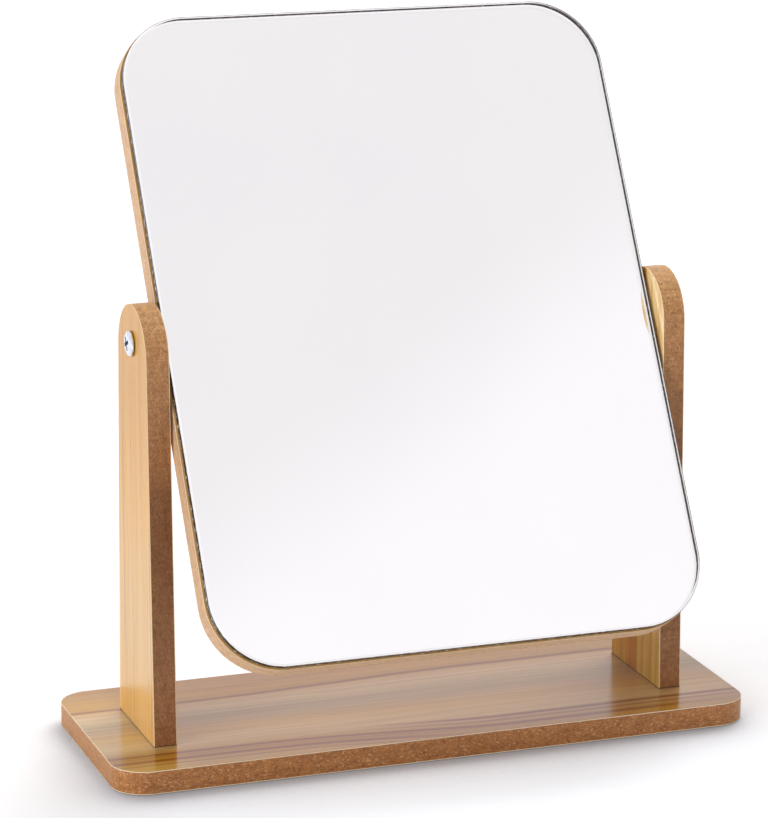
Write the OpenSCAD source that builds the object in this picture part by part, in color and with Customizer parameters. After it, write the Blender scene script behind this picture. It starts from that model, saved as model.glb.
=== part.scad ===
// Tilting table mirror between two wooden uprights on a flat base, in millimetres.
// X runs to the right, Y to the back and Z up. The origin is the middle of the base's underside.
// Every board is fibreboard with raw edges and a wood-grain laminate glued to each face.
// At rest the mirror leans back by mirror_tilt. It turns about the two pivot screws.

/* [Boards] */
// Thickness of each finished board, laminates included
board_t = 9; // [8:0.5:12]
// Thickness of the laminate on each face
laminate_t = 0.3; // [0.2:0.05:0.6]

/* [Base] */
// Reach of the base beyond each upright's outer face
base_overhang = 20; // [14:1:40]
// Depth of the base, front to back
base_d = 95; // [80:1:140]
// Radius of the base's four corners
base_corner_r = 13; // [4:0.5:20]

/* [Uprights] */
// Depth of an upright where it stands on the base
upright_foot_d = 47; // [42:0.5:60]
// Radius of an upright's round top
upright_top_r = 18.5; // [14:0.5:20]
// Distance from the pivot up to the top of the upright
pivot_below_top = 14.5; // [12:0.5:18]
// Gap between the base and the mirror's lower end when the mirror hangs straight down
swing_gap = 21; // [8:1:40]

/* [Mirror] */
// Width of the mirror and its board
mirror_w = 195; // [160:1:240]
// Height of the mirror and its board
mirror_h = 254; // [200:1:300]
// Radius of the mirror's four corners
mirror_corner_r = 27.5; // [10:0.5:50]
// Lean of the mirror from upright, top to the back
mirror_tilt = 31; // [0:1:45]
// Height of the pivot above the mirror's middle, measured along the mirror
pivot_above_middle = 2; // [0:0.5:10]

/* [Glass] */
// Thickness of the glass, without its silvering
glass_t = 3; // [2:0.1:5]
// Distance by which the board stands out beyond the glass all round
glass_margin = 0.5; // [0.2:0.1:3]
// Thickness of the silvering with its protective paint
silver_t = 0.1; // [0.05:0.05:0.2]
// Width of the ground bevel round the front of the glass
bevel_w = 1.4; // [0.5:0.1:3]
// Depth of the bevel at the rim of the glass
bevel_drop = 0.5; // [0.2:0.1:1]

/* [Mounting tape] */
// Thickness of the double-sided tape between board and silvering
tape_t = 0.9; // [0.3:0.1:2]
// Width of each strip
tape_w = 20; // [10:1:30]
// Distance from a strip's end to the side of the mirror
tape_side_inset = 20; // [12:1:40]
// Distance from the outer strips to the mirror's upper and lower end
tape_end_inset = 14; // [8:1:30]

/* [Pivot screws] */
// Diameter over the thread, which turns in the upright
pivot_screw_d = 4.8; // [4:0.1:5]
// Diameter of the core that bites the mirror board
pivot_root_d = 3.6; // [3:0.1:3.8]
// Length under the head
pivot_screw_l = 25; // [22:0.5:32]
// Length of the pointed tip
pivot_tip_l = 4; // [2:0.5:5]
// Diameter of the pan head
pivot_head_d = 9.5; // [8:0.1:11]
// Height of the pan head
pivot_head_h = 2.5; // [2.2:0.1:3.5]
// Height of the straight rim below the dome
pivot_head_rim = 0.7; // [0.4:0.1:1.2]
// Clearance all round the screw in the upright and in the washer
pivot_clearance = 0.08; // [0.04:0.01:0.1]

/* [Washers] */
// Outer diameter of the spacer washer between upright and mirror
washer_d = 9; // [8:0.5:12]
// Thickness of the washer, which sets the gap beside the mirror
washer_t = 1; // [0.6:0.1:2]

/* [Base screws] */
// Diameter over the thread of the four countersunk screws
base_screw_d = 4; // [3.5:0.1:4.4]
// Diameter of the core that bites the upright
base_root_d = 2.8; // [2.4:0.1:3.2]
// Overall length
base_screw_l = 30; // [24:1:40]
// Length of the pointed tip
base_tip_l = 3.5; // [2:0.5:5]
// Diameter of the countersunk head
base_head_d = 8; // [7:0.1:9]
// Depth of the head below the underside of the base
base_screw_sink = 0.2; // [0.1:0.05:0.5]
// Distance between the front and rear screw of an upright
base_screw_pitch = 25; // [16:1:30]

/* [Hidden] */
$fn = 96;

// Overrun of a cut past the face it opens
overrun = 1;
// Gap round a screw's core in its pilot hole, and round a countersunk head
bite_gap = 0.05;
// Gap round a base screw where it passes through the base
pass_gap = 0.15;
// Room beyond a screw's tip
tip_room = 1;

// Cross recess in both kinds of screw head
recess_l = 4.6;
recess_w = 1;
recess_depth = 1.4;

core_t = board_t - 2 * laminate_t;
inner_x = mirror_w / 2 + washer_t;
outer_x = inner_x + board_t;
base_w = 2 * (outer_x + base_overhang);

// Heights above the base's top face
pivot_h = mirror_h / 2 + pivot_above_middle + swing_gap;
top_centre_h = pivot_h + pivot_below_top - upright_top_r;
pivot_z = board_t + pivot_h;

// The sides of an upright run from the foot's corners and touch the round top
foot_half = upright_foot_d / 2;
foot_reach = norm([foot_half, top_centre_h]);
foot_angle = atan2(-top_centre_h, foot_half);
touch_angle = foot_angle + acos(upright_top_r / foot_reach);
touch_y = upright_top_r * cos(touch_angle);
touch_z = top_centre_h + upright_top_r * sin(touch_angle);

// Layers of the mirror, counted forwards from the middle of its board
silver_z = board_t / 2 + tape_t;
glass_z = silver_z + silver_t;
glass_w = mirror_w - 2 * glass_margin;
glass_h = mirror_h - 2 * glass_margin;
glass_corner_r = mirror_corner_r - glass_margin;

// Reach of the tape's strips
tape_l = mirror_w - 2 * tape_side_inset;
tape_row_y = mirror_h / 2 - tape_end_inset - tape_w / 2;

raw_board = "#a06c3e";
pale_board = "#dcb58c";
wood_grain = "#e2b878";
zinc = "#d8dade";

// Flat plate with round corners, its lower face at z = 0
module round_plate(w, d, r, t) {
  linear_extrude(t) {
    square([w - 2 * r, d], center = true);
    square([w, d - 2 * r], center = true);
    for (x = [-1, 1], y = [-1, 1]) {
      translate([x * (w / 2 - r), y * (d / 2 - r)]) circle(r = r);
    }
  }
}

// Section of a bevelled plate from its middle out to one edge, at reach from the middle
module bevel_section(reach, t) {
  polygon([
    [0, 0], [reach, 0], [reach, t - bevel_drop], [reach - bevel_w, t], [0, t]
  ]);
}

// Straight stretch of a bevelled plate: both edges at reach, run along Y for the given length
module bevel_run(reach, run, t) {
  translate([0, run / 2, 0]) rotate([90, 0, 0]) linear_extrude(run) {
    bevel_section(reach, t);
    mirror([1, 0]) bevel_section(reach, t);
  }
}

// Plate with round corners whose upper edge is bevelled all the way round
module bevelled_plate(w, d, r, t) {
  bevel_run(w / 2, d - 2 * r, t);
  rotate([0, 0, 90]) bevel_run(d / 2, w - 2 * r, t);
  for (x = [-1, 1], y = [-1, 1]) {
    translate([x * (w / 2 - r), y * (d / 2 - r), 0]) rotate_extrude() bevel_section(r, t);
  }
}

// Two crossed slots, cut downwards from z = 0
module cross_recess() {
  for (turn = [0, 90]) {
    rotate([0, 0, turn]) translate([-recess_l / 2, -recess_w / 2, -recess_depth])
      cube([recess_l, recess_w, recess_depth + overrun]);
  }
}

// The left side is the mirror image of the right
module left_side() {
  mirror([1, 0, 0]) children();
}

// Frame of the mirror: origin on the pivot axis, X along the axis, Y up the mirror,
// Z out of its front
module on_mirror() {
  translate([0, 0, pivot_z]) rotate([90 - mirror_tilt, 0, 0]) children();
}

// Frame of the mirror plate's own middle
module on_plate(z) {
  on_mirror() translate([0, -pivot_above_middle, z]) children();
}

// Places of the two screws of the right upright, row -1 in front and 1 behind
module at_base_screw(row) {
  translate([(inner_x + outer_x) / 2, row * base_screw_pitch / 2, 0]) children();
}

// Countersunk hole through the base and pilot hole in the upright
module base_screw_hole() {
  head_r = base_head_d / 2 + bite_gap;
  pass_r = base_screw_d / 2 + pass_gap;
  translate([0, 0, -overrun]) cylinder(r = head_r, h = overrun + base_screw_sink);
  translate([0, 0, base_screw_sink]) cylinder(r1 = head_r, r2 = pass_r, h = head_r - pass_r);
  cylinder(r = pass_r, h = board_t);
  cylinder(r = base_root_d / 2 + bite_gap, h = base_screw_sink + base_screw_l + tip_room);
}

module base_screw_holes() {
  for (side = [0, 1], row = [-1, 1]) {
    mirror([side, 0, 0]) at_base_screw(row) base_screw_hole();
  }
}

module base_layer(z, t) {
  difference() {
    translate([0, 0, z]) round_plate(base_w, base_d, base_corner_r, t);
    base_screw_holes();
  }
}

module base_core() {
  color(raw_board) base_layer(laminate_t, core_t);
}

module base_top_laminate() {
  color(wood_grain) base_layer(laminate_t + core_t, laminate_t);
}

module base_bottom_laminate() {
  color(wood_grain) base_layer(0, laminate_t);
}

// Outline of an upright seen from the side, its foot on y = 0
module upright_outline() {
  polygon([[-foot_half, 0], [foot_half, 0], [touch_y, touch_z], [-touch_y, touch_z]]);
  translate([0, top_centre_h]) circle(r = upright_top_r);
}

// One layer of the right upright, from x outwards, with its pivot hole
module upright_layer(x, t) {
  difference() {
    translate([x, 0, board_t]) rotate([90, 0, 90]) linear_extrude(t) upright_outline();
    translate([x - overrun, 0, pivot_z]) rotate([0, 90, 0])
      cylinder(r = pivot_screw_d / 2 + pivot_clearance, h = t + 2 * overrun);
    for (row = [-1, 1]) at_base_screw(row) base_screw_hole();
  }
}

module upright_core() {
  color(raw_board) upright_layer(inner_x + laminate_t, core_t);
}

module upright_outer_laminate() {
  color(wood_grain) upright_layer(outer_x - laminate_t, laminate_t);
}

module upright_inner_laminate() {
  color(wood_grain) upright_layer(inner_x, laminate_t);
}

// Countersunk screw, driven upwards through the base
module base_screw() {
  head_r = base_head_d / 2;
  thread_r = base_screw_d / 2;
  root_r = base_root_d / 2;
  color(zinc) translate([0, 0, base_screw_sink]) difference() {
    union() {
      cylinder(r1 = head_r, r2 = thread_r, h = head_r - thread_r);
      cylinder(r = thread_r, h = board_t - base_screw_sink);
      cylinder(r = root_r, h = base_screw_l - base_tip_l);
      translate([0, 0, base_screw_l - base_tip_l])
        cylinder(r1 = root_r, r2 = 0, h = base_tip_l);
    }
    mirror([0, 0, 1]) cross_recess();
  }
}

// Body of the mirror board with the pilot holes of the pivot screws in its two sides
module mirror_board_core() {
  bite = pivot_screw_l - board_t - washer_t;
  color(pale_board) difference() {
    on_plate(-core_t / 2) round_plate(mirror_w, mirror_h, mirror_corner_r, core_t);
    for (side = [0, 1]) {
      mirror([side, 0, 0]) on_mirror() translate([mirror_w / 2 - bite - tip_room, 0, 0])
        rotate([0, 90, 0]) cylinder(r = pivot_root_d / 2 + bite_gap, h = bite + tip_room + overrun);
    }
  }
}

module mirror_board_front_laminate() {
  color(wood_grain) on_plate(core_t / 2)
    round_plate(mirror_w, mirror_h, mirror_corner_r, laminate_t);
}

module mirror_board_rear_laminate() {
  color(wood_grain) on_plate(-board_t / 2)
    round_plate(mirror_w, mirror_h, mirror_corner_r, laminate_t);
}

// One strip of tape across the board, row 1 at the top, 0 in the middle and -1 at the bottom
module mirror_tape(row) {
  color("#f2f0ea") on_plate(board_t / 2) translate([-tape_l / 2, row * tape_row_y - tape_w / 2, 0])
    cube([tape_l, tape_w, tape_t]);
}

module mirror_silvering() {
  color("#c9ced2") on_plate(silver_z) round_plate(glass_w, glass_h, glass_corner_r, silver_t);
}

module mirror_glass() {
  color("#e6eef0") on_plate(glass_z) bevelled_plate(glass_w, glass_h, glass_corner_r, glass_t);
}

// Pan head standing on z = 0: a straight rim, then a dome cut from one sphere
module pan_head() {
  head_r = pivot_head_d / 2;
  rise = pivot_head_h - pivot_head_rim;
  dome_r = (head_r * head_r + rise * rise) / (2 * rise);
  difference() {
    intersection() {
      cylinder(r = head_r, h = pivot_head_h);
      translate([0, 0, pivot_head_h - dome_r]) sphere(r = dome_r);
    }
    translate([0, 0, pivot_head_h]) cross_recess();
  }
}

// Screw of the right pivot: its head bears on the upright, its thread turns in the upright's
// hole and its core bites the mirror board
module pivot_screw() {
  root_r = pivot_root_d / 2;
  color(zinc) on_mirror() translate([outer_x, 0, 0]) rotate([0, 90, 0]) {
    pan_head();
    translate([0, 0, -board_t - washer_t])
      cylinder(r = pivot_screw_d / 2, h = board_t + washer_t);
    translate([0, 0, pivot_tip_l - pivot_screw_l])
      cylinder(r = root_r, h = pivot_screw_l - pivot_tip_l);
    translate([0, 0, -pivot_screw_l]) cylinder(r1 = 0, r2 = root_r, h = pivot_tip_l);
  }
}

module pivot_washer() {
  color("white") on_mirror() translate([mirror_w / 2, 0, 0]) rotate([0, 90, 0]) difference() {
    cylinder(r = washer_d / 2, h = washer_t);
    translate([0, 0, -overrun])
      cylinder(r = pivot_screw_d / 2 + pivot_clearance, h = washer_t + 2 * overrun);
  }
}

base_core();
base_top_laminate();
base_bottom_laminate();
left_side() upright_core();  // left_upright_core
left_side() upright_outer_laminate();  // left_upright_outer_laminate
left_side() upright_inner_laminate();  // left_upright_inner_laminate
upright_core();  // right_upright_core
upright_outer_laminate();  // right_upright_outer_laminate
upright_inner_laminate();  // right_upright_inner_laminate
left_side() at_base_screw(-1) base_screw();  // left_front_base_screw
left_side() at_base_screw(1) base_screw();  // left_rear_base_screw
at_base_screw(-1) base_screw();  // right_front_base_screw
at_base_screw(1) base_screw();  // right_rear_base_screw
mirror_board_core();
mirror_board_front_laminate();
mirror_board_rear_laminate();
mirror_tape(1);  // mirror_tape_top
mirror_tape(0);  // mirror_tape_middle
mirror_tape(-1);  // mirror_tape_bottom
mirror_silvering();
mirror_glass();
left_side() pivot_screw();  // left_pivot_screw
pivot_screw();  // right_pivot_screw
left_side() pivot_washer();  // left_pivot_washer
pivot_washer();  // right_pivot_washer
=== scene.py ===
import math

import bmesh
import bpy
import numpy as np
from mathutils import Matrix, Vector


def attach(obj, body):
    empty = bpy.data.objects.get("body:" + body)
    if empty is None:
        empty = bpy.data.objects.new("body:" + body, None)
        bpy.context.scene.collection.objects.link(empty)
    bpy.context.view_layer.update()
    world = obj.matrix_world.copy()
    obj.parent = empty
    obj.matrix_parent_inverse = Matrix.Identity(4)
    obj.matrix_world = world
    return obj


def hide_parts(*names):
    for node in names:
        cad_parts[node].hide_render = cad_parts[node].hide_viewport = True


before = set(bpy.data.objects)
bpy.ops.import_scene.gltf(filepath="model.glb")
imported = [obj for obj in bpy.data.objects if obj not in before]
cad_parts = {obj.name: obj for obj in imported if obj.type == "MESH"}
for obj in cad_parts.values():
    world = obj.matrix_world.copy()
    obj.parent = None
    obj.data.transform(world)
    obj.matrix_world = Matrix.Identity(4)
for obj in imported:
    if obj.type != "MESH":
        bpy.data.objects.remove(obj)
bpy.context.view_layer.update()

mm = 0.001  # the frame is in metres
baseTop = 9.0  # how high the base's top face lies, on which the uprights stand, in millimetres
print("frame loaded with", len(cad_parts), "nodes")


def hexColour(text):
    # sRGB hex digits to linear light: the sRGB curve undone for each channel
    channels = [int(text[i:i + 2], 16) / 255 for i in (1, 3, 5)]
    linear = [c / 12.92 if c <= 0.04045 else ((c + 0.055) / 1.055) ** 2.4 for c in channels]
    return (*linear, 1.0)


def addNode(tree, kind, inputs=None, **settings):
    # one shader node: its settings, then each input as a fixed value or as a link from another node
    node = tree.nodes.new("ShaderNode" + kind)
    for name, value in settings.items():
        if name == "stops":
            ramp = node.color_ramp
            ramp.elements.remove(ramp.elements[1])
            ramp.elements[0].position, ramp.elements[0].color = value[0]
            for place, colour in value[1:]:
                ramp.elements.new(place).color = colour
        else:
            setattr(node, name, value)
    for name, value in (inputs or {}).items():
        if isinstance(value, bpy.types.NodeSocket):
            tree.links.new(value, node.inputs[name])
        else:
            node.inputs[name].default_value = value
    return node


def startMaterial(name):
    # a new material with an empty node tree
    material = bpy.data.materials.new(name)
    material.use_nodes = True
    material.node_tree.nodes.clear()
    return material, material.node_tree


def finishMaterial(tree, shader):
    # the last shader becomes the surface
    addNode(tree, "OutputMaterial", {"Surface": shader.outputs[0]})


def boardTurn(along, across):
    # the rotation that carries the board's length to x, its width to y and its thickness to z
    along, across = Vector(along), Vector(across)
    return tuple(Matrix((along, across, along.cross(across))).to_euler())


# the mirror's own directions at rest, leaning back
lean = math.radians(31)
mirrorUp = (0.0, math.sin(lean), math.cos(lean))
mirrorOut = (0.0, -math.cos(lean), math.sin(lean))

# each board's turn, the direction of its thickness, and the width in millimetres that a print covers
boards = {
    "base": {"turn": boardTurn((1, 0, 0), (0, 1, 0)), "thick": (0, 0, 1), "width": 96},
    "upright": {"turn": boardTurn((0, 0, 1), (0, 1, 0)), "thick": (1, 0, 0), "width": 48},
    "mirror": {"turn": boardTurn(mirrorUp, (1, 0, 0)), "thick": mirrorOut, "width": 196},
}

# Each print: "stops" are its broad bands across the grain, from edge to edge, and "along" a tone that goes
# over them from end to end, which paints light and shade where it is not even. "spread" is the stretch of
# board over which the figure opens out, and the share to which the place across it shrinks for that. "lines"
# are dark
# growth lines: place across, half width, strength, middle and reach along the board. "foot" is where an
# upright meets the base, and where a line of painted shade is drawn. All in millimetres.
baseLaminate = {
    "name": "satinWoodGrainLaminateBrown",
    "stops": [
        (-47.5, "#CF9F44"), (-42, "#CEA34E"), (-38.6, "#C49133"), (-34, "#C99831"), (-29, "#CCA051"),
        (-25, "#D9B77A"), (-21, "#E2C284"), (-16, "#E3C17D"), (-12, "#E1BB6F"), (-8, "#D8B368"),
        (-4, "#D4B37A"), (0, "#C7AD7C"), (4, "#CAB280"), (8, "#D5BD8A"), (12, "#DEC48F"), (16, "#E6C993"),
        (20, "#E0BA76"), (24, "#D0A03F"), (28, "#D7A53D"), (34, "#D19D3A"), (40, "#CA9B4E"),
        (47.5, "#C79038"),
    ],
    "spread": (-75, 33, 0.775),
    "lines": [
        (22.5, 2.2, 0.85, -40, 300), (-24.4, 2.0, 0.95, 85, 125), (-27.6, 1.6, 0.6, 60, 100),
        (-31.6, 2.1, 1.0, -20, 170), (-34.2, 1.2, 0.6, -60, 90), (-37.4, 2.4, 1.0, -90, 120),
        (-41.5, 1.2, 0.6, -60, 100), (34, 1.2, 0.25, -20, 90), (5.5, 2.4, 0.2, -50, 90),
    ],
    "line": "#94560A",
    # painted light: lighter at the left end, where the light comes from, and darker towards the right end
    "along": [(-128, "#FCFAFA"), (-112, "#FCFAFA"), (-96, "#E1D7DA"), (95, "#E1D7DA"), (128, "#CEC2C4")],
    "wander": 4.0,
    "fibre": "#8A6036",
    "fibreAmount": 0.34,
    "cut": "#F6E4C4",
    "roughness": 0.17,
    "IOR": 1.7,
    "sheen": "#CCDEFF",
}
uprightLaminate = {
    "name": "satinWoodGrainLaminateGolden",
    "stops": [
        (-23.5, "#E2B474"), (-20.5, "#D6A664"), (-18.5, "#E2B476"), (-12, "#DFB072"), (-6, "#E2B576"),
        (0, "#DBAB6A"), (6, "#E0B274"), (12, "#DAAB6C"), (17, "#DFB172"), (20.5, "#E6BA7C"),
        (23.5, "#F0CE9C"),
    ],
    "spread": (0, 1, 1.0),
    "lines": [
        (14.2, 1.0, 0.62, 84, 60), (12.4, 0.45, 0.5, 128, 60), (-9.6, 0.5, 0.75, 140, 62),
        (-11.4, 0.4, 0.5, 118, 70), (3.2, 0.7, 0.42, 66, 80), (-3.6, 0.5, 0.42, 100, 90),
        (8.2, 0.5, 0.42, 40, 60), (-16.8, 0.6, 0.45, 30, 70), (-20.6, 0.4, 0.6, 60, 120),
        (19.2, 0.5, 0.42, 60, 120),
    ],
    "line": "#A0682A",
    # painted light and shade: the tone along the height stands in for how light and sheen fall on the outer
    # faces, darker and yellower towards the top
    "along": [(9, "#FFFAD8"), (28, "#FCF9DC"), (50, "#F8FBF8"), (72, "#FBF8E0"), (103, "#F7E9A0"),
              (140, "#EBD66C"), (174, "#EBD66A")],
    "foot": baseTop,
    "wander": 4.0,
    "fibre": "#B88444",
    "fibreAmount": 0.46,
    "cut": "#F4DCB6",
    "roughness": 0.24,
    "IOR": 1.46,
    "sheen": "#FFFFFF",
}
# painted light: a lighter copy of the uprights' laminate, with its own stripes, for the inner faces, which
# lie in the mirror's shade
innerLaminate = {
    "name": "satinWoodGrainLaminateStriped",
    "stops": [
        (-23.5, "#F8D8A0"), (-20, "#E8C284"), (-17, "#F8D699"), (-14, "#E0B674"), (-12, "#F0C98A"),
        (-9, "#F8D698"), (-7, "#E6BE7C"), (-5, "#F4D092"), (-2.4, "#F8D89A"), (-1.2, "#DC9A30"),
        (0.5, "#D59120"), (5, "#D7931D"), (8.5, "#E0A53C"), (11, "#E8B663"), (14, "#DCA552"), (17, "#E8B868"),
        (20, "#F0C276"), (23.5, "#E8BA6A"),
    ],
    "spread": (0, 1, 1.0),
    "lines": [(-15, 0.5, 0.5, 30, 150), (-6.6, 0.5, 0.5, 30, 150), (5.2, 0.6, 0.5, 60, 150)],
    "line": "#9A6420",
    # painted shade: darker at the foot, under the mirror
    "along": [(9, "#CCBC78"), (26, "#CFC07E"), (44, "#F8F2E4"), (174, "#FFFFFF")],
    "foot": baseTop,
    "wander": 3.0,
    "fibre": "#A8742C",
    "fibreAmount": 0.38,
    "cut": "#F4DCB6",
    "roughness": 0.22,
    "IOR": 1.46,
    "sheen": "#FFFFFF",
}
mirrorLaminate = {
    "name": "satinWoodGrainLaminatePale",
    "stops": [
        (-98, "#DCAE6C"), (-80, "#D2A05A"), (-62, "#E0B678"), (-47, "#D4A562"), (-30, "#DEB272"),
        (-12, "#D09C54"), (8, "#E0B474"), (27, "#D5A560"), (44, "#E1B87A"), (66, "#D2A05A"),
        (83, "#DEB270"), (98, "#D4A45E"),
    ],
    "spread": (60, 220, 0.85),
    "lines": [
        (-71, 0.8, 0.6, 150, 240), (-66, 0.4, 0.4, 100, 160), (-18, 1.0, 0.6, 120, 260),
        (-22, 0.4, 0.4, 200, 160), (37, 0.7, 0.5, 140, 260), (58, 1.0, 0.6, 60, 240),
        (63, 0.5, 0.4, 180, 140),
    ],
    "line": "#96602A",
    "along": [(0, "#FFFFFF"), (300, "#FFFFFF")],
    "wander": 9.0,
    "fibre": "#B07E3A",
    "fibreAmount": 0.38,
    "cut": "#F0D9BC",
    "roughness": 0.24,
    "IOR": 1.46,
    "sheen": "#FFFFFF",
}


# what the prints share: how often each pattern repeats in a millimetre along, across and through the board
laminatePatterns = {
    "wander": (0.009, 0.02, 0.03),  # the figure wanders over about 110 mm of length
    "fibres": (0.016, 0.95, 0.95),  # about 1 mm wide and 60 mm long
    "pores": (0.07, 2.6, 2.6),  # about 0.4 mm wide and 15 mm long
    "poreAmount": 0.4,  # as a share of the fibres' amount
}


def boardSheet(tree, board):
    # a point's place in millimetres along (X), across (Y) and through (Z) the board: whole, and in its parts
    place = addNode(tree, "TexCoord")
    sheet = addNode(tree, "Mapping", {
        "Vector": place.outputs["Object"], "Rotation": board["turn"], "Scale": (1 / mm, 1 / mm, 1 / mm)})
    axes = addNode(tree, "SeparateXYZ", {"Vector": sheet.outputs[0]})
    return sheet.outputs[0], axes.outputs


def toned(tree, look, length, colour):
    # the colour times the look's tone at each place along the board, which paints light and shade: lighter or
    # darker where light falls more or less
    low, high = look["along"][0][0], look["along"][-1][0]
    share = addNode(tree, "MapRange", {"Value": length, "From Min": low, "From Max": high})
    stops = [((spot - low) / (high - low), hexColour(tone)) for spot, tone in look["along"]]
    tone = addNode(tree, "ValToRGB", {"Fac": share.outputs[0]}, stops=stops)
    product = addNode(tree, "Mix", {
        "Factor": 1.0, "A": colour, "B": tone.outputs["Color"]}, data_type="RGBA", blend_type="MULTIPLY")
    return product.outputs["Result"]


def footShaded(tree, look, length, colour):
    # painted shade: a dark line about 0.4 mm high where an upright stands on the base, the shadow in the
    # joint
    if "foot" not in look:
        return colour
    darkTo, clearFrom, darkest = look["foot"] + 0.2, look["foot"] + 0.55, 0.12
    clear = addNode(tree, "MapRange", {
        "Value": length, "From Min": darkTo, "From Max": clearFrom, "To Min": darkest})
    shaded = addNode(tree, "Mix", {
        "Factor": clear.outputs[0], "A": (0, 0, 0, 1), "B": colour}, data_type="RGBA")
    return shaded.outputs["Result"]


def woodGrainLaminate(board, look):
    # Wood-grain paper under a satin melamine film, pressed on fibreboard and sawn through at the edge. It
    # gives long straight figure, a soft sheen that whitens at low angles, and a cream line where it is cut.
    material, tree = startMaterial(look["name"])
    sheet, axes = boardSheet(tree, board)
    # the place across the figure: squeezed where the look says, then moved by the slow wander
    slow = addNode(tree, "Mapping", {"Vector": sheet, "Scale": laminatePatterns["wander"]})
    wander = addNode(tree, "TexNoise", {"Vector": slow.outputs[0], "Scale": 1.0, "Detail": 2.0})
    openFrom, openTo, squeeze = look["spread"]
    squeezed = addNode(tree, "MapRange", {
        "Value": axes["X"], "From Min": openFrom, "From Max": openTo, "To Min": 1.0, "To Max": squeeze},
        interpolation_type="SMOOTHSTEP")
    opened = addNode(tree, "Math", {0: axes["Y"], 1: squeezed.outputs[0]}, operation="MULTIPLY")
    middle = addNode(tree, "Math", {0: wander.outputs["Fac"], 1: 0.5}, operation="SUBTRACT")
    across = addNode(tree, "Math", {
        0: middle.outputs[0], 1: look["wander"], 2: opened.outputs[0]}, operation="MULTIPLY_ADD")
    half = board["width"] / 2
    share = addNode(tree, "MapRange", {
        "Value": across.outputs[0], "From Min": -half, "From Max": half})
    stops = [((spot + half) / (2 * half), hexColour(band)) for spot, band in look["stops"]]
    figure = addNode(tree, "ValToRGB", {"Fac": share.outputs[0]}, stops=stops)
    long = addNode(tree, "Mapping", {"Vector": sheet, "Scale": laminatePatterns["fibres"]})
    fibres = addNode(tree, "TexNoise", {
        "Vector": long.outputs[0], "Scale": 1.0, "Detail": 4.0, "Roughness": 0.62})
    short = addNode(tree, "Mapping", {"Vector": sheet, "Scale": laminatePatterns["pores"]})
    pores = addNode(tree, "TexNoise", {
        "Vector": short.outputs[0], "Scale": 1.0, "Detail": 2.0, "Roughness": 0.5})
    fibreMask = addNode(tree, "MapRange", {
        "Value": fibres.outputs["Fac"], "From Min": 0.42, "From Max": 0.72, "To Max": look["fibreAmount"]})
    poreMask = addNode(tree, "MapRange", {
        "Value": pores.outputs["Fac"], "From Min": 0.55, "From Max": 0.72,
        "To Max": laminatePatterns["poreAmount"] * look["fibreAmount"]})
    streaked = addNode(tree, "Mix", {
        "Factor": fibreMask.outputs[0], "A": figure.outputs["Color"], "B": hexColour(look["fibre"])},
        data_type="RGBA")
    lined = addNode(tree, "Mix", {
        "Factor": poreMask.outputs[0], "A": streaked.outputs["Result"], "B": hexColour(look["fibre"])},
        data_type="RGBA")
    for at, width, strength, centre, reach in look["lines"]:
        # a soft-sided line that fades away over the second half of its reach, and breaks up with the fibres
        off = addNode(tree, "Math", {0: across.outputs[0], 1: at}, operation="SUBTRACT")
        aside = addNode(tree, "Math", {0: off.outputs[0]}, operation="ABSOLUTE")
        thin = addNode(tree, "MapRange", {
            "Value": aside.outputs[0], "From Min": width, "From Max": 0.0, "To Max": strength},
            interpolation_type="SMOOTHSTEP")
        away = addNode(tree, "Math", {0: axes["X"], 1: centre}, operation="SUBTRACT")
        along = addNode(tree, "Math", {0: away.outputs[0]}, operation="ABSOLUTE")
        fade = addNode(tree, "MapRange", {
            "Value": along.outputs[0], "From Min": reach, "From Max": reach / 2},
            interpolation_type="SMOOTHSTEP")
        mask = addNode(tree, "Math", {0: thin.outputs[0], 1: fade.outputs[0]}, operation="MULTIPLY")
        lined = addNode(tree, "Mix", {
            "Factor": mask.outputs[0], "A": lined.outputs["Result"], "B": hexColour(look["line"])},
            data_type="RGBA")
    # painted light and shade: the print times the tone along the board
    printWithPaintedLight = toned(tree, look, axes["X"], lined.outputs["Result"])
    # the cut edge is wherever the surface turns away from the sheet's face
    surface = addNode(tree, "TexCoord")
    facing = addNode(tree, "VectorMath", {
        0: surface.outputs["Normal"], 1: board["thick"]}, operation="DOT_PRODUCT")
    flat = addNode(tree, "Math", {0: facing.outputs["Value"]}, operation="ABSOLUTE")
    cutMask = addNode(tree, "MapRange", {
        "Value": flat.outputs[0], "From Min": 0.9, "From Max": 0.6})
    colour = addNode(tree, "Mix", {
        "Factor": cutMask.outputs[0], "A": printWithPaintedLight, "B": hexColour(look["cut"])}, data_type="RGBA")
    shaded = footShaded(tree, look, axes["X"], colour.outputs["Result"])
    gloss = addNode(tree, "MapRange", {
        "Value": fibres.outputs["Fac"], "From Min": 0.3, "From Max": 0.7,
        "To Min": look["roughness"] - 0.03, "To Max": look["roughness"] + 0.05})
    emboss = addNode(tree, "Bump", {
        "Height": pores.outputs["Fac"], "Strength": 0.12, "Distance": 0.04 * mm})
    shader = addNode(tree, "BsdfPrincipled", {
        "Base Color": shaded, "Roughness": gloss.outputs[0], "IOR": look["IOR"],
        "Specular Tint": hexColour(look["sheen"]), "Normal": emboss.outputs[0]})
    finishMaterial(tree, shader)
    return material


# "along" paints light and shade on the sawn edge: a tone at each place along the board, in millimetres
baseEdgeLook = {
    "name": "sawnFibreboardBrown",
    "dark": "#885028", "middle": "#AF713A", "light": "#C98D52", "chip": "#E4B080", "fleck": "#663818",
    "chips": 0.7, "sawMarks": 0.1,
    "along": [(-128, "#FFFFFF"), (0, "#F6F4F0"), (70, "#FAF8F4"), (128, "#FFFFFF")],
}
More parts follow.
